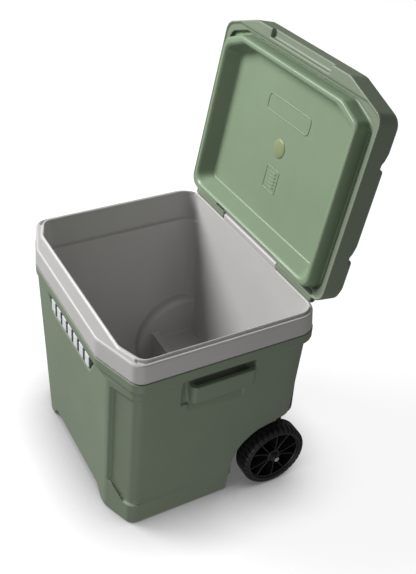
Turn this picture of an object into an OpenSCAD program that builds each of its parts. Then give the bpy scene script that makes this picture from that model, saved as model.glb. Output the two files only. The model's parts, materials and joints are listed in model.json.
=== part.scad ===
// Hard cooler on two wheels: foam-filled tub, hinged lid, moulded side
// grab bars, rear swing tow handle and a plugged drain.
// X runs along the wheel axle, +Y points to the hinge and wheel side,
// +Z is up. The origin is the middle of the flat base, on the floor.

/* [Body] */
// Width of the rim band, side to side
rim_w = 540; // [500:1:580]
// Depth of the rim band, front to back
rim_d = 422; // [400:1:440]
// Height of the flat ledge on the rim
rim_z = 454; // [444:1:470]
// Height of the light rim band
band_h = 41; // [36:1:46]
// Half width of the body at the floor
base_hx = 234; // [228:1:238]
// Wall thickness of the moulded shells
wall = 3; // [2.5:0.1:3.5]

/* [Lid] */
// Angle at which the open lid rests, from closed
lid_open = 101; // [90:1:105]
// Height of the lid
lid_h = 56; // [52:1:62]
// Depth of the four drink recesses in the lid
cup_depth = 9; // [5:1:10]
// Radius of the hinge pins
hinge_pin_r = 3; // [2.5:0.1:3.5]

/* [Wheels] */
// Outer radius of the tyres
wheel_r = 74.5; // [72:0.5:76]
// Width of each wheel
wheel_w = 45; // [40:1:46]
// Radius of the axle rod
axle_r = 4; // [4:0.5:6]
// Lugs around each tyre
tread_lugs = 36; // [24:1:48]

/* [Tow handle] */
// Distance from the pivots to the middle of the grip
tow_reach = 236; // [200:1:250]
// Radius of the bent tube
tow_tube_r = 8; // [7:0.5:9]
// Length of the soft grip
grip_l = 190; // [150:5:220]

/* [Hidden] */

green = [0.45, 0.53, 0.42];
light_grey = [0.78, 0.77, 0.76];
black = [0.06, 0.06, 0.07];
steel = [0.7, 0.7, 0.72];
foam_white = [0.93, 0.91, 0.84];

gap = 0.4;          // between neighbouring parts of one body
run = 0.05;         // radial clearance of the running fits
eps = 0.01;

rim_hx = rim_w / 2;
rim_hy = rim_d / 2;
band_z = rim_z - band_h;            // underside of the light band
collar_z = band_z - 24;             // underside of the green collar
side_step = 7.5;                    // side wall, panel recess included
panel_deep = 4.5;

// Opening of the tub and its inner walls
open_hx = 255;
open_front = -180;
open_back = 203;
lip_z = rim_z + 3;
step_z = 391;
floor_z = 40;
rear_floor_z = 98;
ridge_z = 117;
riser_y = 70;
lip_w = 4;                          // lip, and the groove round it
groove_w = 4;
groove_deep = 4;

// Wheels
wheel_x = 213.5;                    // inner face of each wheel
wheel_y = 152;
well_x = 199;                       // inner wall of the wheel wells
well_r = 99;
bump_r = 120;                       // liner hump over each wheel well
bump_x = 188;
bump_round = 12;
under_y = 80;                       // behind this the underside is raised
under_z = 82;
hanger_x = [140, 164];              // axle hanger on each side

// Hinge
hinge_y = 209.4;
hinge_z = 462.6;
knuckle_r = 8;
block_hx = 108;                     // half width of the centre hinge block
knuckle_end = 236;

// Lid, in its closed place
lid_z = rim_z + 0.8;
lid_top = lid_z + lid_h;
lid_hx = 266;
lid_back = 203;
pan_z = 466;                        // underside of the pan's flange
crest_z = 436;                      // lowest edge of the pan's ridge
ridge_hx = 237;                     // outer half width of that ridge
panel_z = 470;                      // face of the recessed panel
flange_z = 458;
flange_hx = 250;                    // inner edge of the side flanges
cup_x = 196;
cup_r = 40;
cup_ys = [-90, 98];
notch_deep = 20;                    // drain notches at the lid's edge
plug_r = 20;

// Drain on the left side
drain_y = -60;
drain_z = 56;
drain_x = -232;                     // flat seat of the drain
neck_x = -247;                      // outer end of the spout
spout_r = 11;
spout_bore_r = 8;

// Tow handle
tow_x = 188;
tow_y = 222;
tow_z = 345;
pivot_r = 4;
bend_r = 36;

// ---- outlines -------------------------------------------------------

// Arc of n + 1 points that rounds corner p between neighbours a and b
function corner_arc(a, p, b, r, n) =
    let (u = (a - p) / norm(a - p), v = (b - p) / norm(b - p),
        half = acos(u * v) / 2,
        c = p + (u + v) / norm(u + v) * r / sin(half),
        s = p + u * r / tan(half), e = p + v * r / tan(half),
        a0 = atan2(s[1] - c[1], s[0] - c[0]),
        a1r = atan2(e[1] - c[1], e[0] - c[0]),
        a1 = a1r < a0 ? a1r + 360 : a1r)
    [for (i = [0:n]) c + r * [cos(a0 + (a1 - a0) * i / n),
        sin(a0 + (a1 - a0) * i / n)]];

// Counter-clockwise outline with a rounded corner at every point
function rounded(pts, rs, n = 6) = let (m = len(pts))
    [for (i = [0:m - 1], q = corner_arc(pts[(i + m - 1) % m], pts[i],
        pts[(i + 1) % m], rs[i], n)) q];

// Cooler outline: two shallow front chamfers and two round rear corners
function outline(hx, front, back, cx, cy, rf, rb) = rounded(
    [[-hx + cx, front], [hx - cx, front], [hx, front + cy],
        [hx, back], [-hx, back], [-hx, front + cy]],
    [rf * 1.6, rf * 1.6, rf, rb, rb, rf]);

// Solid skinned over rings of equal point count, one ring per height
module loft(rings, heights) {
    n = len(rings[0]);
    k = len(rings);
    points = [for (j = [0:k - 1], p = rings[j]) [p[0], p[1], heights[j]]];
    sides = [for (j = [0:k - 2], i = [0:n - 1]) each [
        [j * n + i, (j + 1) * n + i, j * n + (i + 1) % n],
        [(j + 1) * n + i, (j + 1) * n + (i + 1) % n, j * n + (i + 1) % n]]];
    bottom = [for (i = [0:n - 1]) i];
    top = [for (i = [n - 1:-1:0]) (k - 1) * n + i];
    polyhedron(points, concat(sides, [bottom, top]), convexity = 8);
}

module along_x() rotate([90, 0, 90]) children();

module both_sides() {
    children();
    mirror([1, 0, 0]) children();
}

// Rod or ring whose axis runs along X, from x0 to x1
module rod_x(x0, x1, y, z, r, fn = 64) translate([x0, y, z]) rotate([0, 90, 0])
    cylinder(h = x1 - x0, r = r, $fn = fn);

module ring_x(x0, x1, y, z, r_out, r_in) difference() {
    rod_x(x0, x1, y, z, r_out);
    rod_x(x0 - 1, x1 + 1, y, z, r_in);
}

module block(lo, hi) translate(lo) cube(hi - lo);

// ---- body shell -----------------------------------------------------

// c pulls the two front chamfers in
function wall_ring(hx, front, back, c = 0) =
    outline(hx, front, back, 72 + c, 29 + 0.4 * c, 22, 42);
function rim_ring(g) = outline(rim_hx + g, -rim_hy - g, rim_hy + g, 108, 36, 26, 45);

module shell_outer() loft(
    [wall_ring(base_hx - 3, -201, 196), wall_ring(base_hx, -204, 199),
        wall_ring(263, -203, 204), rim_ring(0), rim_ring(2.5), rim_ring(2.5)],
    [0, 5, collar_z - 8, collar_z, collar_z + 3, band_z - gap]);

// Space inside the shell walls; s shrinks it further
module shell_inner(s = 0) loft(
    [wall_ring(base_hx - side_step - s, -201 + s, 196 - s, 8),
        wall_ring(263 - side_step - s, -200 + s, 201 - s, 8),
        rim_ring(-wall - s), rim_ring(-0.5 - s), rim_ring(-0.5 - s)],
    [wall + s, collar_z - 5, collar_z + 1, collar_z + 4, band_z + 1 - s]);

// Wheel well on the right, grown by g
module wheel_well(g = 0) {
    intersection() {
        rod_x(well_x - g, 320, wheel_y, wheel_r, well_r + g, 96);
        block([well_x - g, -300, -10], [320, wheel_y + 1, 300]);
    }
    block([well_x - g, wheel_y, -10], [320, 260, wheel_r + well_r + 6 + g]);
    translate([well_x - g, 0, 0]) along_x() linear_extrude(130 - well_x + 180 + g)
        polygon([[46 - g, -10], [wheel_y - well_r - g, wheel_r], [wheel_y + 1, wheel_r],
            [wheel_y + 1, -10]]);
}

// Space under the raised rear of the body, grown by g
module rear_step(g = 0) block([-320, under_y - g, -10], [320, 260, under_z + g]);

// Hangers that carry the axle under the raised rear
module axle_hangers() both_sides() difference() {
    union() {
        block([hanger_x[0], wheel_y - 13, wheel_r], [hanger_x[1], wheel_y + 13, under_z + 1]);
        rod_x(hanger_x[0], hanger_x[1], wheel_y, wheel_r, 13);
    }
    rod_x(0, 300, wheel_y, wheel_r, axle_r + 0.3);
}

// Hand pocket behind the right side bar, grown by g
module hand_pocket(g = 0) {
    module cut(y0, y1, z0, z1) translate([0, y1 + g, 0]) rotate([90, 0, 0])
        linear_extrude(y1 - y0 + 2 * g) polygon([[300, z1 + g], [247.5 - g, z1 + g],
            [243.5 - g, 345], [256 - g * 1.2, z0 - g], [300, z0 - g]]);
    intersection() {
        cut(-80, 76, 290, 381);
        block([200, -200, 316 - g], [310, 200, 400]);
    }
    cut(-65, 56, 290, 381);
}

// Grab bar across the pocket: stands proud and returns at both ends
module grab_bar() difference() {
    loft([bar_ring(265.5), bar_ring(269)], [319, 361]);
    block([200, -52, 300], [258.5, 64, 380]);
}
function bar_ring(x) = rounded([[244.5, -62], [x, -62], [x, 74], [244.5, 74]],
    [1, 12, 6, 1]);

// Arched relief under the front edge, grown by g
module front_arch(g = 0) translate([0, -140 + g, 0]) rotate([90, 0, 0])
    linear_extrude(120 + g) polygon([[-142 - g, -5], [142 + g, -5], [142 + g, 4],
        [120 + g, 30 + g], [-120 - g, 30 + g], [-142 - g, 4]]);

// Recess of the name panel under the front band, grown by g
module badge_recess(g = 0) translate([0, -199.5 + g, 0]) rotate([90, 0, 0])
    linear_extrude(30) polygon([[-102 - g, 328 - g], [102 + g, 328 - g],
        [132 + g, 372 + g], [-132 - g, 372 + g]]);

// Face of the panel recess at one height: it meets the side wall again towards the back
function panel_ring(hx, front) = rounded([[-hx, front], [hx - 72, front], [hx, front + 29],
    [hx + panel_deep + 1, 75], [hx + panel_deep + 1, 250], [-hx, 250]], [5, 35, 22, 5, 5, 5]);

// Shallow panel recess over the right side and its front chamfer
module side_panel() intersection() {
    difference() {
        block([120, -230, 58], [300, 60, 364]);
        loft([panel_ring(base_hx - panel_deep, -204 + panel_deep),
            panel_ring(263 - panel_deep, -203 + panel_deep)], [5, collar_z - 8]);
    }
    loft([[[172, -230], [300, -230], [300, 60], [172, 60]],
        [[200, -230], [300, -230], [300, 60], [200, 60]]], [50, 370]);
    translate([100, 0, 0]) along_x() linear_extrude(220) polygon([[-184, 58], [60, 58],
        [60, 364], [-230, 364], [-230, 92], [-196, 92]]);
}

module drain_recess(g = 0) rod_x(-300, drain_x + g, drain_y, drain_z, 27 + g);

// Everything that is let into the shell from outside, grown by g
module reliefs(g = 0) {
    both_sides() {
        wheel_well(g);
        hand_pocket(g);
    }
    rear_step(g);
    front_arch(g);
    badge_recess(g);
    drain_recess(g);
}

module body_shell() color(green) difference() {
    union() {
        difference() {
            shell_outer();
            reliefs();
            both_sides() side_panel();
        }
        both_sides() grab_bar();
        axle_hangers();
        block([-216, 196, 364], [216, 209, collar_z + 1]);
    }
    difference() {
        shell_inner();
        reliefs(wall);
    }
    rod_x(-300, -200, drain_y, drain_z, spout_r + 0.3);
    for (p = bracket_holes) translate([p[0], 190, p[1]]) rotate([-90, 0, 0])
        cylinder(h = 40, r = 2.2, $fn = 32);
}

// ---- liner ----------------------------------------------------------

function tub_ring(hx, front, back, g) =
    outline(hx + g, front - g, back + g, 55, 22, 20, 34 + g);

// Round-shouldered hump of the liner over a wheel well, shrunk by g
module hump(g) translate([bump_x + g, wheel_y, wheel_r]) rotate([0, 90, 0])
    rotate_extrude($fn = 96) polygon([[0, 0],
        for (a = [0:15:90]) [bump_r - g - bump_round * (1 - sin(a)), bump_round * (1 - cos(a))],
        [bump_r - g, 300 - bump_x], [0, 300 - bump_x]]);

// Inside of the tub grown by g, up to height top
module tub_space(g, top) difference() {
    union() {
        loft([tub_ring(250, -177, 197, g), tub_ring(open_hx, open_front, open_back, g),
            tub_ring(open_hx, open_front, open_back, g)],
            [step_z - g, rim_z - 2, top]);
        loft([tub_ring(199, -163, 172, g), tub_ring(240, -177, 197, g)],
            [floor_z - g, step_z + eps]);
    }
    both_sides() hump(g);
    block([-300, riser_y + g, 0], [300, 260, rear_floor_z - g]);
    block([-300, riser_y + g, 0], [300, riser_y + 16 - g, ridge_z - g]);
}

module band_ring(g, z0, z1) linear_extrude(z1 - z0) polygon(rim_ring(g));

// Raised lip around the opening, with its groove outside it
module lip_ring(g0, g1, z0, z1) translate([0, 0, z0]) linear_extrude(z1 - z0) difference() {
    polygon(tub_ring(open_hx, open_front, open_back, g1));
    polygon(tub_ring(open_hx, open_front, open_back, g0));
}

module liner() color(light_grey) difference() {
    union() {
        tub_space(wall, rim_z - 1);
        difference() {
            loft([rim_ring(1.5), rim_ring(-1), rim_ring(-3)], [band_z, rim_z - 3, rim_z]);
            loft([rim_ring(-wall), rim_ring(-wall - 2)],
                [band_z - 1, rim_z - groove_deep - wall + 0.6]);
        }
        difference() {
            lip_ring(-1, lip_w, rim_z - 1, lip_z);
            block([-knuckle_end - 4, 150, rim_z], [knuckle_end + 4, 260, 470]);
            block([-300, lid_back - 6, rim_z], [300, 260, 470]);
        }
        rod_x(-block_hx, block_hx, hinge_y, hinge_z, knuckle_r);
        block([-block_hx, hinge_y - 5, rim_z - 3], [block_hx, hinge_y + 7, hinge_z]);
        rod_x(-206, -199.5, drain_y, drain_z, 22);
    }
    tub_space(0, 480);
    intersection() {
        lip_ring(lip_w, lip_w + groove_w, rim_z - groove_deep, rim_z + 1);
        block([-300, -170, 400], [300, 196, 500]);
    }
    rod_x(-300, -190, drain_y, drain_z, spout_r + 0.3);
    both_sides() rod_x(block_hx - 60, 300, hinge_y, hinge_z, hinge_pin_r);
}

// ---- insulation -----------------------------------------------------

module body_foam() color(foam_white) difference() {
    shell_inner(gap);
    tub_space(wall + gap, 480);
    reliefs(wall + gap);
    block([-300, -300, band_z - gap], [300, 300, 500]);
    rod_x(-300, -190, drain_y, drain_z, 23);
    for (p = bracket_holes) translate([p[0], 176, p[1]]) rotate([-90, 0, 0])
        cylinder(h = 40, r = 3, $fn = 24);
}

// ---- badge ----------------------------------------------------------

module badge_plate() color(black) translate([0, -199.9, 0]) rotate([90, 0, 0])
    linear_extrude(1.6) polygon([[-99, 331], [99, 331], [126, 369], [-126, 369]]);

// Plain slanted bars: a blank mark, with no letters
module badge_bars() color(light_grey) for (i = [-3:3])
    translate([i * 31, -201.5, 0]) rotate([90, 0, 0]) linear_extrude(2)
        polygon([[-11, 336], [9, 336], [11, 364], [-9, 364]]);

// ---- hinge pins -----------------------------------------------------

module hinge_pin_right() color(steel)
    rod_x(block_hx - 58, block_hx + 70, hinge_y, hinge_z, hinge_pin_r);
module hinge_pin_left() mirror([1, 0, 0]) hinge_pin_right();

// ---- axle set -------------------------------------------------------

cap_x = wheel_x + wheel_w + 2.5;

module axle() color(steel) rod_x(-cap_x - 3, cap_x + 3, wheel_y, wheel_r, axle_r);

// Spacer tube on the inner side of each wheel and a washer on its outer side
module axle_washers() color(black) both_sides() {
    ring_x(hanger_x[1] + gap, wheel_x - 0.6, wheel_y, wheel_r, axle_r + 3, axle_r + 0.2);
    ring_x(wheel_x + wheel_w + gap, cap_x - gap, wheel_y, wheel_r, 8, axle_r + 0.2);
}

module axle_caps() color(steel) both_sides() difference() {
    rod_x(cap_x, cap_x + 4.5, wheel_y, wheel_r, axle_r + 1.5);
    rod_x(cap_x - 1, cap_x + 3.1, wheel_y, wheel_r, axle_r);
}

// ---- wheels ---------------------------------------------------------

rim_r = 66;         // where the tyre sits on the hub
dish_r = 60.5;
spoke_w = 2.6;

// Edge of one curved spoke, t from 0 at the hub to 1 at the rim
function spoke_edge(s, t, w) = [10 + t * (dish_r - 9), s * (2.2 + 16.5 * pow(t, 1.5)) + w];

module spoke_pair(a) rotate([a, 0, 0]) for (s = [-1, 1])
    along_x() translate([0, 0, wheel_x + 9]) linear_extrude(wheel_w - 15) polygon([
        for (i = [0:8]) spoke_edge(s, i / 8, spoke_w / 2),
        for (i = [8:-1:0]) spoke_edge(s, i / 8, -spoke_w / 2)]);

module wheel_hub_right() color(black) translate([0, wheel_y, wheel_r]) difference() {
    union() {
        ring_x(wheel_x + 2, wheel_x + wheel_w - 2, 0, 0, rim_r, dish_r);
        rod_x(wheel_x + 2, wheel_x + 9.5, 0, 0, dish_r + 0.5);
        rod_x(wheel_x, wheel_x + wheel_w, 0, 0, 11);
        for (k = [0:4]) spoke_pair(72 * k - 2);
    }
    rod_x(wheel_x - 1, wheel_x + wheel_w + 1, 0, 0, axle_r + run);
}
module wheel_hub_left() mirror([1, 0, 0]) wheel_hub_right();

module tyre_right() color(black) translate([0, wheel_y, wheel_r]) difference() {
    translate([wheel_x, 0, 0]) rotate([0, 90, 0]) rotate_extrude($fn = 96) polygon([
        [rim_r, 0], [wheel_r - 6, 0], [wheel_r, 6], [wheel_r, wheel_w - 6],
        [wheel_r - 6, wheel_w], [rim_r, wheel_w]]);
    for (k = [0:tread_lugs - 1], s = [0, 1]) rotate([360 / tread_lugs * (k + s / 2), 0, 0])
        block([s ? wheel_x - 1 : wheel_x + wheel_w / 2 + 2, -1.6, wheel_r - 2.5],
            [s ? wheel_x + wheel_w / 2 - 2 : wheel_x + wheel_w + 1, 1.6, wheel_r + 5]);
}
module tyre_left() mirror([1, 0, 0]) tyre_right();

// ---- drain ----------------------------------------------------------

module drain_spout() color(light_grey) difference() {
    union() {
        rod_x(neck_x, -189, drain_y, drain_z, spout_r);
        rod_x(drain_x - 5, drain_x - 2, drain_y, drain_z, 18);
    }
    rod_x(-260, -180, drain_y, drain_z, spout_bore_r);
}

module drain_nut() color(light_grey) difference() {
    rod_x(-196.8, -189.8, drain_y, drain_z, 15, 6);
    rod_x(-200, -185, drain_y, drain_z, spout_r);
}

module drain_gaskets() color(black) {
    ring_x(drain_x - 2, drain_x - 0.2, drain_y, drain_z, 17, spout_r + run);
    ring_x(-198.9, -196.9, drain_y, drain_z, 14.5, spout_r + run);
}

// Seal ring round the plug's shank
module drain_seal() color(black)
    ring_x(neck_x - 2.6, neck_x - gap, drain_y, drain_z, spout_r, spout_bore_r + 0.3);

// Push-in plug: a finned cap over the spout's end and a shank in its bore
module drain_cap() color(light_grey) {
    difference() {
        union() {
            rod_x(neck_x - 7, -238.4, drain_y, drain_z, 14.5);
            for (a = [0:45:315]) translate([0, drain_y, drain_z]) rotate([a, 0, 0])
                block([neck_x - 7, -2, 13], [-240, 2, 16.5]);
        }
        rod_x(neck_x - 3, -230, drain_y, drain_z, spout_r + gap);
    }
    rod_x(neck_x - 5, -229, drain_y, drain_z, spout_bore_r - run);
}

// ---- tow handle -----------------------------------------------------

bracket_holes = [for (s = [-1, 1], dx = [-15, 15], dz = [-18, 14])
    [s * (tow_x + dx), tow_z + dz]];
back_y = 204.2;
screw_end = 199;

// Bracket on the right: foot plate with two ears around the arm's eye
module tow_bracket_right() color(black) difference() {
    union() {
        block([tow_x - 22, back_y + 0.5, tow_z - 26], [tow_x + 22, back_y + 4.5, tow_z + 18]);
        for (s = [-1, 1]) translate([tow_x + s * 13 - 2.5, 0, 0]) {
            rod_x(0, 5, tow_y, tow_z, 9);
            block([0, back_y + 2, tow_z - 9], [5, tow_y, tow_z + 9]);
        }
    }
    rod_x(tow_x - 30, tow_x + 30, tow_y, tow_z, pivot_r);
    for (p = bracket_holes) translate([p[0], 190, p[1]]) rotate([-90, 0, 0])
        cylinder(h = 40, r = 2.2, $fn = 32);
}
module tow_bracket_left() mirror([1, 0, 0]) tow_bracket_right();

module tow_pivots() color(steel) both_sides() {
    rod_x(tow_x - 17, tow_x + 17, tow_y, tow_z, pivot_r);
    rod_x(tow_x + 15.6, tow_x + 18.6, tow_y, tow_z, 6.5);
}

module bracket_screws() color(steel) for (p = bracket_holes) translate([p[0], 0, p[1]]) {
    translate([0, screw_end, 0]) rotate([-90, 0, 0])
        cylinder(h = back_y + 5 - screw_end, r = 2, $fn = 32);
    translate([0, back_y + 4.6, 0]) rotate([-90, 0, 0])
        cylinder(h = 2.2, r1 = 4, r2 = 2.6, $fn = 32);
}

// Bent tube: two arms, two bends and the cross bar, one path per side
module tow_bar() color(black) difference() {
    both_sides() {
        translate([tow_x, tow_y, tow_z - tow_reach + bend_r])
            cylinder(h = tow_reach - bend_r, r = tow_tube_r, $fn = 48);
        translate([tow_x - bend_r, tow_y, tow_z - tow_reach + bend_r])
            rotate([90, 0, 0]) rotate([0, 0, 270]) rotate_extrude(angle = 90, $fn = 64)
                translate([bend_r, 0]) circle(r = tow_tube_r, $fn = 48);
        rod_x(-eps, tow_x - bend_r, tow_y, tow_z - tow_reach, tow_tube_r, 48);
        rod_x(tow_x - 9, tow_x + 9, tow_y, tow_z, 8.5);
    }
    both_sides() rod_x(tow_x - 30, tow_x + 30, tow_y, tow_z, pivot_r + run);
}

module tow_grip() color(black) translate([-grip_l / 2, tow_y, tow_z - tow_reach])
    rotate([0, 90, 0]) rotate_extrude($fn = 64) polygon([
        [tow_tube_r, 0], [12, 0], [13.5, 3], for (i = [0:8]) [12.2 + 1.2 * sin(180 * i / 8),
        8 + (grip_l - 16) * i / 8], [13.5, grip_l - 3], [12, grip_l], [tow_tube_r, grip_l]]);

// ---- lid, drawn closed and then swung open --------------------------

module swung_open() translate([0, hinge_y, hinge_z]) rotate([-lid_open, 0, 0])
    translate([0, -hinge_y, -hinge_z]) children();

function lid_ring(g) = outline(lid_hx - g, -210 + g, lid_back - g, 108, 36, 24, 26);

// Channel from a drink recess to the lid's edge: its front side slopes, its rear side is steep
module drain_notch(y, g) intersection() {
    translate([cup_x, y + 30, 0]) rotate([90, 0, 0]) linear_extrude(60) polygon([
        [0, lid_top - cup_depth - g], [44 - g, lid_top - cup_depth - 1 - g],
        [72 - g, lid_top - notch_deep - g], [100, lid_top - notch_deep - g], [100, 540], [0, 540]]);
    along_x() linear_extrude(300) polygon([[y - 19 - g, 540], [y - 19 - g, lid_top - 2 - g],
        [y + 7, lid_top - notch_deep - 2 - g], [y + 15 + g, lid_top - notch_deep - 2 - g],
        [y + 19 + g, lid_top - 14 - g], [y + 19 + g, 540]]);
}

// Drink recesses with their drain notches, and the thumb slot, grown by g
module lid_reliefs(g = 0) {
    both_sides() for (y = cup_ys) {
        translate([cup_x, y, lid_top - cup_depth - g]) cylinder(h = 40, r = cup_r + g, $fn = 96);
        drain_notch(y, g);
    }
    block([-102 - g, -260, lid_z - 10], [102 + g, -193 + g, lid_z + 9 + g]);
}

module lid_inner(s = 0) difference() {
    loft([lid_ring(wall + s), lid_ring(wall + 1 + s), lid_ring(10 + s), lid_ring(18 + s)],
        [lid_z - 2 + s, lid_top - 18, lid_top - 7 - s, lid_top - wall - s]);
    block([-300, -260, 400], [300, -186 + s, pan_z + wall]);
    block([-block_hx - 5, lid_back - 8 - s, 400], [block_hx + 5, 260, hinge_z + 14 + s]);
}

// Flat flange along each side of the lid, which comes down on the lip of the tub
module rest_flange() intersection() {
    translate([0, 0, flange_z]) linear_extrude(wall) difference() {
        polygon(lid_ring(1));
        polygon(lid_ring(lid_hx - flange_hx));
    }
    block([flange_hx - 60, -190, 400], [300, 172, 500]);
}

module lid_shell() color(green) swung_open() union() {
    both_sides() rest_flange();
    lid_body();
}

module lid_body() difference() {
    union() {
        loft([lid_ring(0), lid_ring(1), lid_ring(7), lid_ring(15)],
            [lid_z, lid_top - 16, lid_top - 5, lid_top]);
        both_sides() {
            rod_x(block_hx + 1, knuckle_end, hinge_y, hinge_z, knuckle_r);
            block([block_hx + 1, lid_back - 3, hinge_z - 6], [knuckle_end, hinge_y, hinge_z + 8]);
        }
    }
    difference() {
        lid_inner();
        lid_reliefs(wall);
    }
    lid_reliefs();
    block([-block_hx - 1, lid_back - 4, 400], [block_hx + 1, 260, hinge_z + 10]);
    both_sides() rod_x(block_hx - 1, 300, hinge_y, hinge_z, hinge_pin_r + run);
}

function pan_ring(hx, front, back, r) = outline(hx, front, back, 58, 24, r, r + 4);

// Outside of the pan's ridge shrunk by s, and the dish inside it grown by g
module pan_ridge(s) loft(
    [for (e = [5, 2, 0]) pan_ring(ridge_hx - e - s, -174 + e + s, 190 - e - s, 20)],
    [crest_z + s, crest_z + 4 + s, pan_z + wall + eps]);
module pan_dish(g) loft(
    [pan_ring(226 + g, -163 - g, 179 + g, 18), pan_ring(221 + g, -158 - g, 174 + g, 18),
        pan_ring(207 + g, -147 - g, 156 + g, 14)],
    [crest_z - 1, crest_z + 4, panel_z + g]);

module lid_liner() color(green) swung_open() difference() {
    union() {
        pan_ridge(0);
        translate([0, 0, pan_z]) linear_extrude(wall) difference() {
            polygon(lid_ring(wall + gap + 0.4));
            translate([-300, -260]) square([600, 260 - 185.6]);
            translate([-block_hx - 6, lid_back - 9]) square([2 * block_hx + 12, 40]);
        }
        pan_dish(wall);
    }
    difference() {
        pan_ridge(wall);
        pan_dish(wall);
    }
    pan_dish(0);
    block([-300, -300, 400], [300, 300, crest_z]);
    block([-118, 181, 400], [118, 260, pan_z]);
    translate([0, 0, panel_z - 5]) cylinder(h = 20, r = 9, $fn = 64);
}

module lid_foam() color(foam_white) swung_open() difference() {
    lid_inner(gap);
    lid_reliefs(wall + gap);
    block([-300, -300, 400], [300, 300, pan_z + wall + gap]);
    pan_dish(wall + gap);
    translate([0, 0, panel_z]) cylinder(h = 14, r = 13, $fn = 48);
}

// Domed plug pressed into the panel's filling hole
module lid_plug() color([0.56, 0.6, 0.42]) swung_open() translate([0, 0, panel_z]) {
    rotate_extrude($fn = 64) polygon([for (a = [0:15:90]) [plug_r * sin(a), -0.2 - 3.6 * cos(a)],
        [0, -0.2]]);
    translate([0, 0, -0.3]) cylinder(h = 9, r = 8.9, $fn = 64);
}

// ---- every node -----------------------------------------------------

body_shell();
liner();
body_foam();
badge_plate();
badge_bars();
hinge_pin_left();
hinge_pin_right();
axle();
axle_washers();
axle_caps();
drain_spout();
drain_nut();
drain_gaskets();
drain_seal();
drain_cap();
tow_bracket_left();
tow_bracket_right();
tow_pivots();
bracket_screws();
tow_bar();
tow_grip();
lid_shell();
lid_liner();
lid_foam();
lid_plug();
wheel_hub_left();
wheel_hub_right();
tyre_left();
tyre_right();
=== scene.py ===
import json
import math

import bmesh
import bpy
import numpy as np
from mathutils import Matrix, Vector


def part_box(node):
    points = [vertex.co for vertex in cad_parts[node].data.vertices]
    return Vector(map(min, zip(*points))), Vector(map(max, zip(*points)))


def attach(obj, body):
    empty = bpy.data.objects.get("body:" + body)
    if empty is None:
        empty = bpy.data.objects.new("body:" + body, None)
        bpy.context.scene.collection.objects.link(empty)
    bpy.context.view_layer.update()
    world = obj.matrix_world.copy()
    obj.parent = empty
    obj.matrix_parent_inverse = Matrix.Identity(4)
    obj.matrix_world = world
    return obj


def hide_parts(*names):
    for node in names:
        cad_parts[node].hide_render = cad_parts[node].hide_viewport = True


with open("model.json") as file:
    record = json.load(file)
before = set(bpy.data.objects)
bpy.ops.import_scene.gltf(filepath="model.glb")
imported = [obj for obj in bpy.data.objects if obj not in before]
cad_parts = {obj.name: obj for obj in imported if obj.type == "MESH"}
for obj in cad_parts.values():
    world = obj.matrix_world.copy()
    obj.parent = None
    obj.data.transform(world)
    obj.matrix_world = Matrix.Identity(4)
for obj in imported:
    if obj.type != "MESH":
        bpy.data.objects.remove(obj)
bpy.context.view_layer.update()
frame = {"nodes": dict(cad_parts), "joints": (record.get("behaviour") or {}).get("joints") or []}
scene = bpy.context.scene
MM = 0.001

JOINTS = {joint["name"]: joint for joint in frame["joints"]}
HINGE = Vector(JOINTS["lid_hinge"]["pos_m"])
LID_OPEN = math.radians(JOINTS["lid_hinge"]["range_deg"][1])
# Takes a point of the closed lid to its open place, where the frame rests
OPENED = (Matrix.Translation(HINGE) @ Matrix.Rotation(-LID_OPEN, 4, "X")
          @ Matrix.Translation(-HINGE))


# ---- camera, lights and floor ------------------------------------------------

YAW, PITCH, ROLL = (math.radians(a) for a in (59.96, 35.44, 3.35))
AIM = Vector((-0.016, 0.120, 0.355))
DISTANCE = 1.847
LENS_MM = 53.4


def look(place, forward, roll=0.0):
    """World matrix of a camera or lamp at place that looks along forward."""
    forward = forward.normalized()
    right = forward.cross(Vector((0, 0, 1))).normalized()
    up = right.cross(forward)
    side = math.cos(roll) * right + math.sin(roll) * up
    top = math.cos(roll) * up - math.sin(roll) * right
    turn = Matrix((side, top, -forward)).transposed()
    return Matrix.Translation(place) @ turn.to_4x4()


def make_camera():
    forward = Vector((-math.sin(YAW) * math.cos(PITCH), math.cos(YAW) * math.cos(PITCH),
                      -math.sin(PITCH)))
    data = bpy.data.cameras.new("camera")
    data.lens = LENS_MM
    data.sensor_width = 36
    camera = bpy.data.objects.new("camera", data)
    scene.collection.objects.link(camera)
    camera.matrix_world = look(AIM - forward * DISTANCE, forward, ROLL)
    scene.camera = camera


def make_lamp(name, place, target, size, power, colour=(1, 1, 1)):
    data = bpy.data.lights.new(name, "AREA")
    data.shape = "DISK"
    data.size = size
    data.energy = power
    data.color = colour
    lamp = bpy.data.objects.new(name, data)
    scene.collection.objects.link(lamp)
    lamp.visible_camera = False
    lamp.matrix_world = look(Vector(place), Vector(target) - Vector(place))


def make_studio():
    make_lamp("key", (-2.23, -2.23, 2.81), (0, 0, 0.35), 2.0, 215)
    make_lamp("floor_bounce", (0.80, -0.45, 0.04), (0.2, 0, 0.2), 0.8, 2.2)
    world = bpy.data.worlds.new("studio")
    scene.world = world
    world.use_nodes = True
    world.node_tree.nodes["Background"].inputs["Color"].default_value = (1, 1, 1, 1)
    world.node_tree.nodes["Background"].inputs["Strength"].default_value = 0.21
    scene.view_settings.view_transform = "Standard"
    mesh = bpy.data.meshes.new("floor")
    edge = 14
    mesh.from_pydata([(-edge, -edge, 0), (edge, -edge, 0), (edge, edge, 0), (-edge, edge, 0)],
                     [], [(0, 1, 2, 3)])
    floor = bpy.data.objects.new("floor", mesh)
    scene.collection.objects.link(floor)
    floor.visible_diffuse = False
    floor.visible_glossy = False
    mesh.materials.append(floor_white())


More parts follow.
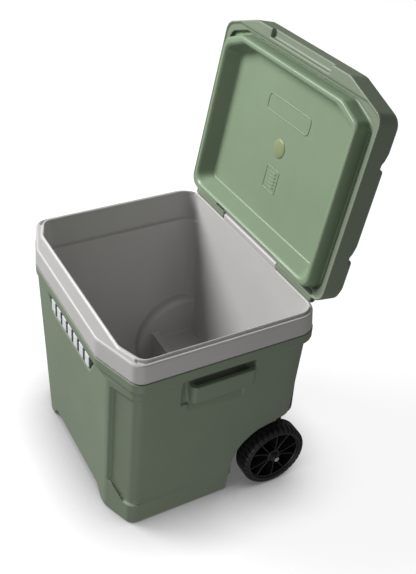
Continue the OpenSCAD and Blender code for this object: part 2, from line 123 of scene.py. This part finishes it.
def floor_white():
    """White paper that glows a little, with a painted contact shadow: ambient occlusion dims the
    glow where something stands close to it.
    """
    paint = bpy.data.materials.new("floor_white")
    paint.use_nodes = True
    tree = paint.node_tree
    shader = tree.nodes["Principled BSDF"]
    shader.inputs["Base Color"].default_value = (0.24, 0.24, 0.24, 1)
    shader.inputs["Roughness"].default_value = 0.8
    shader.inputs["Specular IOR Level"].default_value = 0.1
    shader.inputs["Emission Color"].default_value = (1, 1, 1, 1)
    # Painted contact shadow: ambient occlusion lowers the floor's glow next to the object
    painted_contact_shadow = tree.nodes.new("ShaderNodeAmbientOcclusion")
    painted_contact_shadow.inputs["Distance"].default_value = 0.16
    glow = tree.nodes.new("ShaderNodeMapRange")
    glow.inputs["From Min"].default_value = 0.35
    glow.inputs["To Min"].default_value = 0.10
    glow.inputs["To Max"].default_value = 0.88
    tree.links.new(painted_contact_shadow.outputs["AO"], glow.inputs["Value"])
    tree.links.new(glow.outputs["Result"], shader.inputs["Emission Strength"])
    return paint


# ---- materials -----------------------------------------------------------------

def moulded(name, colour, rough=0.45, grain=0.12, grain_mm=0.8, shade=0.06, wear=0.12,
            metal=0.0, coat=0.0, streak=(1, 1, 1), spec=0.5):
    """Moulded plastic, rubber or metal: fine grain, faint mottling, scuffed edges and
    roughness that varies a little. grain is the bump, grain_mm its size."""
    paint = bpy.data.materials.new(name)
    paint.use_nodes = True
    tree = paint.node_tree
    nodes, links = tree.nodes, tree.links
    shader = nodes["Principled BSDF"]
    shader.inputs["Metallic"].default_value = metal
    shader.inputs["Coat Weight"].default_value = coat
    shader.inputs["Specular IOR Level"].default_value = spec
    place = nodes.new("ShaderNodeTexCoord")
    scaled = nodes.new("ShaderNodeMapping")
    scaled.inputs["Scale"].default_value = streak
    links.new(place.outputs["Object"], scaled.inputs["Vector"])

    def noise(scale, detail):
        node = nodes.new("ShaderNodeTexNoise")
        node.inputs["Scale"].default_value = scale
        node.inputs["Detail"].default_value = detail
        node.inputs["Roughness"].default_value = 0.55
        links.new(scaled.outputs["Vector"], node.inputs["Vector"])
        return node.outputs["Fac"]

    def ramp(source, low, high, c0, c1):
        node = nodes.new("ShaderNodeMapRange")
        node.inputs["From Min"].default_value = low
        node.inputs["From Max"].default_value = high
        node.inputs["To Min"].default_value = c0
        node.inputs["To Max"].default_value = c1
        links.new(source, node.inputs["Value"])
        return node.outputs["Result"]

    def mix(factor, a, b):
        node = nodes.new("ShaderNodeMix")
        node.data_type = "RGBA"
        links.new(factor, node.inputs["Factor"])
        for key, value in (("A", a), ("B", b)):
            socket = [s for s in node.inputs if s.name == key and s.type == "RGBA"][0]
            if isinstance(value, tuple):
                socket.default_value = value
            else:
                links.new(value, socket)
        return [s for s in node.outputs if s.type == "RGBA"][0]

    dark = tuple(c * (1 - shade) for c in colour) + (1,)
    light = tuple(min(1, c * (1 + shade)) for c in colour) + (1,)
    worn = tuple(min(1, c * 1.25 + 0.03) for c in colour) + (1,)
    mottled = mix(ramp(noise(9, 4), 0.3, 0.7, 0, 1), dark, light)
    edge = nodes.new("ShaderNodeNewGeometry")
    scuffs = nodes.new("ShaderNodeMath")
    scuffs.operation = "MULTIPLY"
    links.new(ramp(edge.outputs["Pointiness"], 0.53, 0.62, 0, 1), scuffs.inputs[0])
    links.new(ramp(noise(60, 3), 0.4, 0.7, wear * 0.3, wear), scuffs.inputs[1])
    links.new(mix(scuffs.outputs["Value"], mottled, worn), shader.inputs["Base Color"])
    links.new(ramp(noise(35, 5), 0.25, 0.75, rough - 0.05, rough + 0.07),
              shader.inputs["Roughness"])
    bump = nodes.new("ShaderNodeBump")
    bump.inputs["Strength"].default_value = grain
    bump.inputs["Distance"].default_value = 0.0004
    links.new(noise(0.55 / (grain_mm * MM), 2), bump.inputs["Height"])
    links.new(bump.outputs["Normal"], shader.inputs["Normal"])
    return paint


SHELL = moulded("green_plastic", (0.204, 0.250, 0.178), rough=0.44, grain=0.10, shade=0.03,
                spec=0.45)
PAN = moulded("green_pan", (0.222, 0.300, 0.194), rough=0.38, grain=0.07, shade=0.03)
LINER = moulded("grey_plastic", (0.530, 0.518, 0.512), rough=0.38, grain=0.06, shade=0.02)
PLUG = moulded("plug_plastic", (0.250, 0.300, 0.155), rough=0.38, grain=0.05)
WHEEL = moulded("wheel_plastic", (0.012, 0.012, 0.013), rough=0.40, grain=0.15, wear=0.05)
TYRE = moulded("tyre_rubber", (0.010, 0.010, 0.011), rough=0.55, grain=0.35, grain_mm=1.2,
               wear=0.06)
HANDLE = moulded("handle_plastic", (0.014, 0.014, 0.015), rough=0.45, grain=0.3, wear=0.05)
GRIP = moulded("grip_rubber", (0.016, 0.016, 0.017), rough=0.68, grain=0.6, grain_mm=1.0,
               wear=0.05)
TUBE = moulded("powder_coat", (0.020, 0.020, 0.022), rough=0.42, grain=0.5, grain_mm=0.6,
               coat=0.2)
STEEL = moulded("steel", (0.55, 0.55, 0.56), rough=0.30, grain=0.15, metal=1.0,
                streak=(1, 40, 40))
CHROME = moulded("bright_cap", (0.75, 0.75, 0.76), rough=0.16, grain=0.03, metal=1.0)
RUBBER = moulded("seal_rubber", (0.020, 0.020, 0.020), rough=0.7, grain=0.3)
FOAM = moulded("foam", (0.80, 0.72, 0.50), rough=0.85, grain=0.8, grain_mm=2.5)
BADGE = moulded("badge_dark", (0.020, 0.026, 0.020), rough=0.5, grain=0.4)
BARS = moulded("badge_bright", (0.80, 0.82, 0.84), rough=0.28, grain=0.04, shade=0.02)


# ---- mesh tools ------------------------------------------------------------------

def new_piece(name, mesh, body, paint):
    piece = bpy.data.objects.new(name, mesh)
    scene.collection.objects.link(piece)
    mesh.materials.clear()
    mesh.materials.append(paint)
    for face in mesh.polygons:
        face.use_smooth = True
    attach(piece, body)
    return piece


def baked(piece):
    """The mesh with every modifier of the piece applied."""
    graph = bpy.context.evaluated_depsgraph_get()
    return bpy.data.meshes.new_from_object(piece.evaluated_get(graph))


def softened(node, voxel, passes, faces, turn=None, extras=()):
    """A copy of a CAD node's mesh, and the closed extras, with the edges rounded: it is
    rebuilt on a fine grid, smoothed and thinned to about that many faces. turn aligns it
    with the grid, and the extras are placed before that turn."""
    source = frame["nodes"][node]
    whole = bmesh.new()
    whole.from_mesh(source.data)
    whole.transform(source.matrix_world)
    if turn:
        whole.transform(turn.inverted())
    for points, quads in extras:
        corners = [whole.verts.new(point) for point in points]
        for quad in quads:
            whole.faces.new([corners[i] for i in quad])
    mesh = bpy.data.meshes.new(node + "_work")
    whole.to_mesh(mesh)
    whole.free()
    holder = bpy.data.objects.new(node + "_work", mesh)
    scene.collection.objects.link(holder)
    grid = holder.modifiers.new("grid", "REMESH")
    grid.mode = "VOXEL"
    grid.voxel_size = voxel * MM
    smooth = holder.modifiers.new("smooth", "SMOOTH")
    smooth.factor = 0.5
    smooth.iterations = passes
    full = baked(holder)
    thin = holder.modifiers.new("thin", "DECIMATE")
    thin.ratio = min(1.0, faces / max(1, 2 * len(full.polygons)))
    result = baked(holder)
    bpy.data.objects.remove(holder)
    if turn:
        result.transform(turn)
    result.name = node + "_soft"
    return result


def soft_piece(node, body, paint, voxel=2.0, passes=4, faces=90000, turn=None,
               extras=()):
    mesh = softened(node, voxel, passes, faces, turn, extras)
    piece = new_piece(node + "_skin", mesh, body, paint)
    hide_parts(node)
    return piece


def brick(low, high):
    """Corner points and quads of a closed box, in metres from millimetres."""
    points = [[MM * (high if k & bit else low)[axis] for axis, bit in enumerate((1, 2, 4))]
              for k in range(8)]
    quads = [(0, 2, 3, 1), (4, 5, 7, 6), (0, 1, 5, 4), (2, 6, 7, 3), (0, 4, 6, 2), (1, 3, 7, 5)]
    return points, quads


def revolved(profile, steps, centre, twist=None):
    """Closed ring around the wheel axle through centre. profile is a closed list of
    (x, radius) in millimetres, steps the angles, and twist(angle, x, radius) may move a
    point: it gives the point's own angle and radius."""
    points = []
    for angle in steps:
        for x, radius in profile:
            turned, reach = twist(angle, x, radius) if twist else (angle, radius)
            points.append((centre[0] + x * MM, centre[1] + reach * MM * math.cos(turned),
                           centre[2] + reach * MM * math.sin(turned)))
    count, wide = len(steps), len(profile)
    quads = [(i * wide + j, i * wide + (j + 1) % wide, (i + 1) % count * wide + (j + 1) % wide,
              (i + 1) % count * wide + j) for i in range(count) for j in range(wide)]
    return points, quads


def even(count):
    return [2 * math.pi * k / count for k in range(count)]


def bead(points, normal, width, height, closed=True):
    """Half-round raised line along points on a flat face, in the closed lid's place or the
    body's own. normal points out of the face. Its foot is sunk a little into the face."""
    count = len(points)
    arc = [math.pi * k / 6 for k in range(7)]
    rows = []
    for i, point in enumerate(points):
        before = points[(i - 1) % count] if closed or i else point
        after = points[(i + 1) % count] if closed or i < count - 1 else point
        along = (Vector(after) - Vector(before)).normalized()
        across = along.cross(normal).normalized()
        centre = Vector(point) - normal * 0.3 * MM
        rows.append([centre + across * (math.cos(a) * width * MM / 2)
                     + normal * ((math.sin(a) * height + 0.3) * MM) for a in arc]
                    + [centre - across * width * MM / 2, centre + across * width * MM / 2])
    wide = len(rows[0])
    vertices = [tuple(p) for row in rows for p in row]
    turns = count if closed else count - 1
    quads = [(i * wide + j, i * wide + (j + 1) % wide, (i + 1) % count * wide + (j + 1) % wide,
              (i + 1) % count * wide + j) for i in range(turns) for j in range(wide)]
    if not closed:
        quads += [tuple(range(wide - 1, -1, -1)), tuple((count - 1) * wide + j for j in range(wide))]
    return vertices, quads


def rounded_frame(x0, y0, x1, y1, radius, z):
    """Points of a rounded rectangle at height z, in metres from millimetres."""
    points = []
    for cx, cy, start in ((x1 - radius, y1 - radius, 0), (x0 + radius, y1 - radius, 90),
                          (x0 + radius, y0 + radius, 180), (x1 - radius, y0 + radius, 270)):
        for k in range(7):
            a = math.radians(start + 15 * k)
            points.append(((cx + radius * math.cos(a)) * MM, (cy + radius * math.sin(a)) * MM,
                           z * MM))
    return points


def mesh_of(name, parts, turn=None):
    """One mesh from several (points, quads) parts, its faces turned outwards."""
    work = bmesh.new()
    for points, quads in parts:
        corners = [work.verts.new(point) for point in points]
        for quad in quads:
            work.faces.new([corners[i] for i in quad])
    bmesh.ops.recalc_face_normals(work, faces=work.faces)
    if turn:
        work.transform(turn)
    mesh = bpy.data.meshes.new(name)
    work.to_mesh(mesh)
    work.free()
    return mesh


def repaint(node, paint):
    cad = frame["nodes"][node]
    cad.data.materials.clear()
    cad.data.materials.append(paint)


# ---- the object ------------------------------------------------------------------

def make_liner():
    """Liner with a small raised tab on each side of its lip."""
    lip_top = 457
    tabs = [brick((side * 257 - 2, -122, lip_top - 2), (side * 257 + 2, -90, lip_top + 0.5))
            for side in (-1, 1)]
    soft_piece("liner", "body", LINER, voxel=1.6, passes=3, faces=170000,
               extras=tabs)


def lid_rim():
    """What carries the lid's flat side flanges on, in the closed lid's place: a strip along
    the front and a quarter turn round each rear corner."""
    low_z, high_z = 458, 461
    parts = [brick((-192, -188, low_z), (192, -178.3, high_z))]
    arc = [math.radians(15 * k) for k in range(7)]
    for side in (-1, 1):
        outer = [(265, 160)] + [(239 + 26 * math.cos(a), 176 + 26 * math.sin(a)) for a in arc]
        inner = [(250, 160)] + [(224 + 26 * math.cos(a), 161 + 26 * math.sin(a)) for a in arc]
        points = [(side * x * MM, y * MM, z * MM) for z in (low_z, high_z)
                  for x, y in outer + inner[::-1]]
        count = len(points) // 2
        half = count // 2
        quads = [(i, (i + 1) % count, count + (i + 1) % count, count + i) for i in range(count)]
        quads += [(i, count - 1 - i, count - 2 - i, i + 1) for i in range(half - 1)]
        quads += [(count + i, count + i + 1, 2 * count - 2 - i, 2 * count - 1 - i)
                  for i in range(half - 1)]
        if side > 0:
            quads = [quad[::-1] for quad in quads]
        parts.append((points, quads))
    return parts


TREAD_LUGS = 36
SLOT_DEEP = 2.6


def tyre_mesh(side):
    """Tyre with two staggered rows of blocks. side is 1 on the right and -1 on the left."""
    low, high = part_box("tyre_right")
    width, outer = (high[0] - low[0]) / MM, (high[2] - low[2]) / MM / 2
    seat = outer - 8.5
    centre = (low[0], (low[1] + high[1]) / 2, (low[2] + high[2]) / 2)
    crown = [(x, outer - 0.5 * (2 * x / width - 1) ** 2) for x in
             (7, 10, 13, 16, 19, 20.3, 20.7, 22.5, 24.3, 24.7, 26, 29, 32, 35, 38)]
    shoulder = [(0.4, outer - 7), (0.9, outer - 5), (2, outer - 3), (3.6, outer - 1.6),
                (5.2, outer - 0.8)]
    profile = ([(1.2, seat), (0.5, seat + 0.7)] + shoulder + crown
               + [(width - x, r) for x, r in reversed(shoulder)]
               + [(width - 0.5, seat + 0.7), (width - 1.2, seat)])
    pitch = 360 / TREAD_LUGS
    slot_edges = (-1.25, -0.9, 0.0, 0.9, 1.25, 2.5)
    steps = [math.radians(pitch * lug + pitch / 2 * row + edge) for lug in range(TREAD_LUGS)
             for row in range(2) for edge in slot_edges]

    def twist(angle, x, radius):
        place = math.degrees(angle) % (pitch / 2)
        place = min(place, pitch / 2 - place)
        row = int(round(math.degrees(angle) / (pitch / 2))) % 2
        in_row = x > width / 2 + 1.9 if row else x < width / 2 - 1.9
        cut = radius > outer - 5.5 and in_row and place < 1.0
        return angle + math.radians(0.14 * (x - width / 2)), radius - (SLOT_DEEP if cut else 0)

    points, quads = revolved(profile, steps, centre, twist)
    if side < 0:
        points = [(-x, y, z) for x, y, z in points]
    return mesh_of("tyre", [(points, quads)])


def make_wheel(side, name):
    low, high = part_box("wheel_hub_" + name)
    centre = (0, (low[1] + high[1]) / 2, (low[2] + high[2]) / 2)
    face = (high[0] if side > 0 else low[0]) / MM
    ring = [(face - side * (3.2 - 2.6 * math.sin(a)), 63.6 + 3.0 * math.cos(a)) for a in even(16)]
    lip = [(face - side * (7.5 - 1.5 * math.sin(a)), 59.4 + 1.6 * math.cos(a)) for a in even(12)]
    boss = [(face - side * (8 - 2.5 * math.sin(a)), 12.5 + 2.5 * math.cos(a)) for a in even(12)]
    rings = [revolved(shape, even(160), centre) for shape in (ring, lip, boss)]
    soft_piece("wheel_hub_" + name, "wheel_" + name, WHEEL, voxel=0.9,
               passes=3, faces=60000, extras=rings)
    tyre = new_piece("tyre_skin_" + name, tyre_mesh(side), "wheel_" + name, TYRE)
    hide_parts("tyre_" + name)
    tyre.data.set_sharp_from_angle(angle=math.radians(35))


def make_lid_marks():
    """Plain relief on the pan's panel: a blank rounded frame and a small square of ribs."""
    panel = 470.0
    out = Vector((0, 0, -1))
    parts = [bead(rounded_frame(-74, -92, 74, -58, 9, panel), out, 3.0, 1.3),
             bead(rounded_frame(-22, 44, 22, 92, 3, panel), out, 2.4, 1.1)]
    for k in range(5):
        y = 53 + 7.5 * k
        parts.append(bead([(x * MM, y * MM, panel * MM) for x in (-15, -5, 5, 15)], out, 2.4, 1.0,
                          closed=False))
    new_piece("lid_marks", mesh_of("lid_marks", parts, OPENED), "lid", PAN)


def make_badge():
    """Plain rounded slanted bars on the name panel."""
    soft_piece("badge_bars", "body", BARS, voxel=0.5, passes=6, faces=24000)


make_camera()
make_studio()
soft_piece("body_shell", "body", SHELL, voxel=1.8, passes=4, faces=170000)
make_liner()
soft_piece("lid_shell", "lid", SHELL, voxel=1.7, passes=4, faces=120000,
           turn=OPENED, extras=lid_rim())
soft_piece("lid_liner", "lid", PAN, voxel=1.6, passes=4, faces=120000,
           turn=OPENED)
make_lid_marks()
make_badge()
for side, name in ((1, "right"), (-1, "left")):
    make_wheel(side, name)
    soft_piece("tow_bracket_" + name, "body", HANDLE, voxel=0.6, passes=3,
               faces=30000)
soft_piece("drain_cap", "drain_plug", LINER, voxel=0.4, passes=4, faces=30000)
soft_piece("drain_nut", "body", LINER, voxel=0.5, passes=3, faces=16000)
soft_piece("tow_grip", "tow_handle", GRIP, voxel=0.8, passes=3, faces=30000)

for node, paint in {
        "body_foam": FOAM, "lid_foam": FOAM, "badge_plate": BADGE,
        "hinge_pin_left": STEEL, "hinge_pin_right": STEEL, "axle": STEEL,
        "axle_washers": WHEEL, "axle_caps": CHROME,
        "drain_spout": LINER, "drain_gaskets": RUBBER,
        "drain_seal": RUBBER, "tow_pivots": STEEL, "bracket_screws": STEEL,
        "tow_bar": TUBE, "lid_plug": PLUG}.items():
    repaint(node, paint)
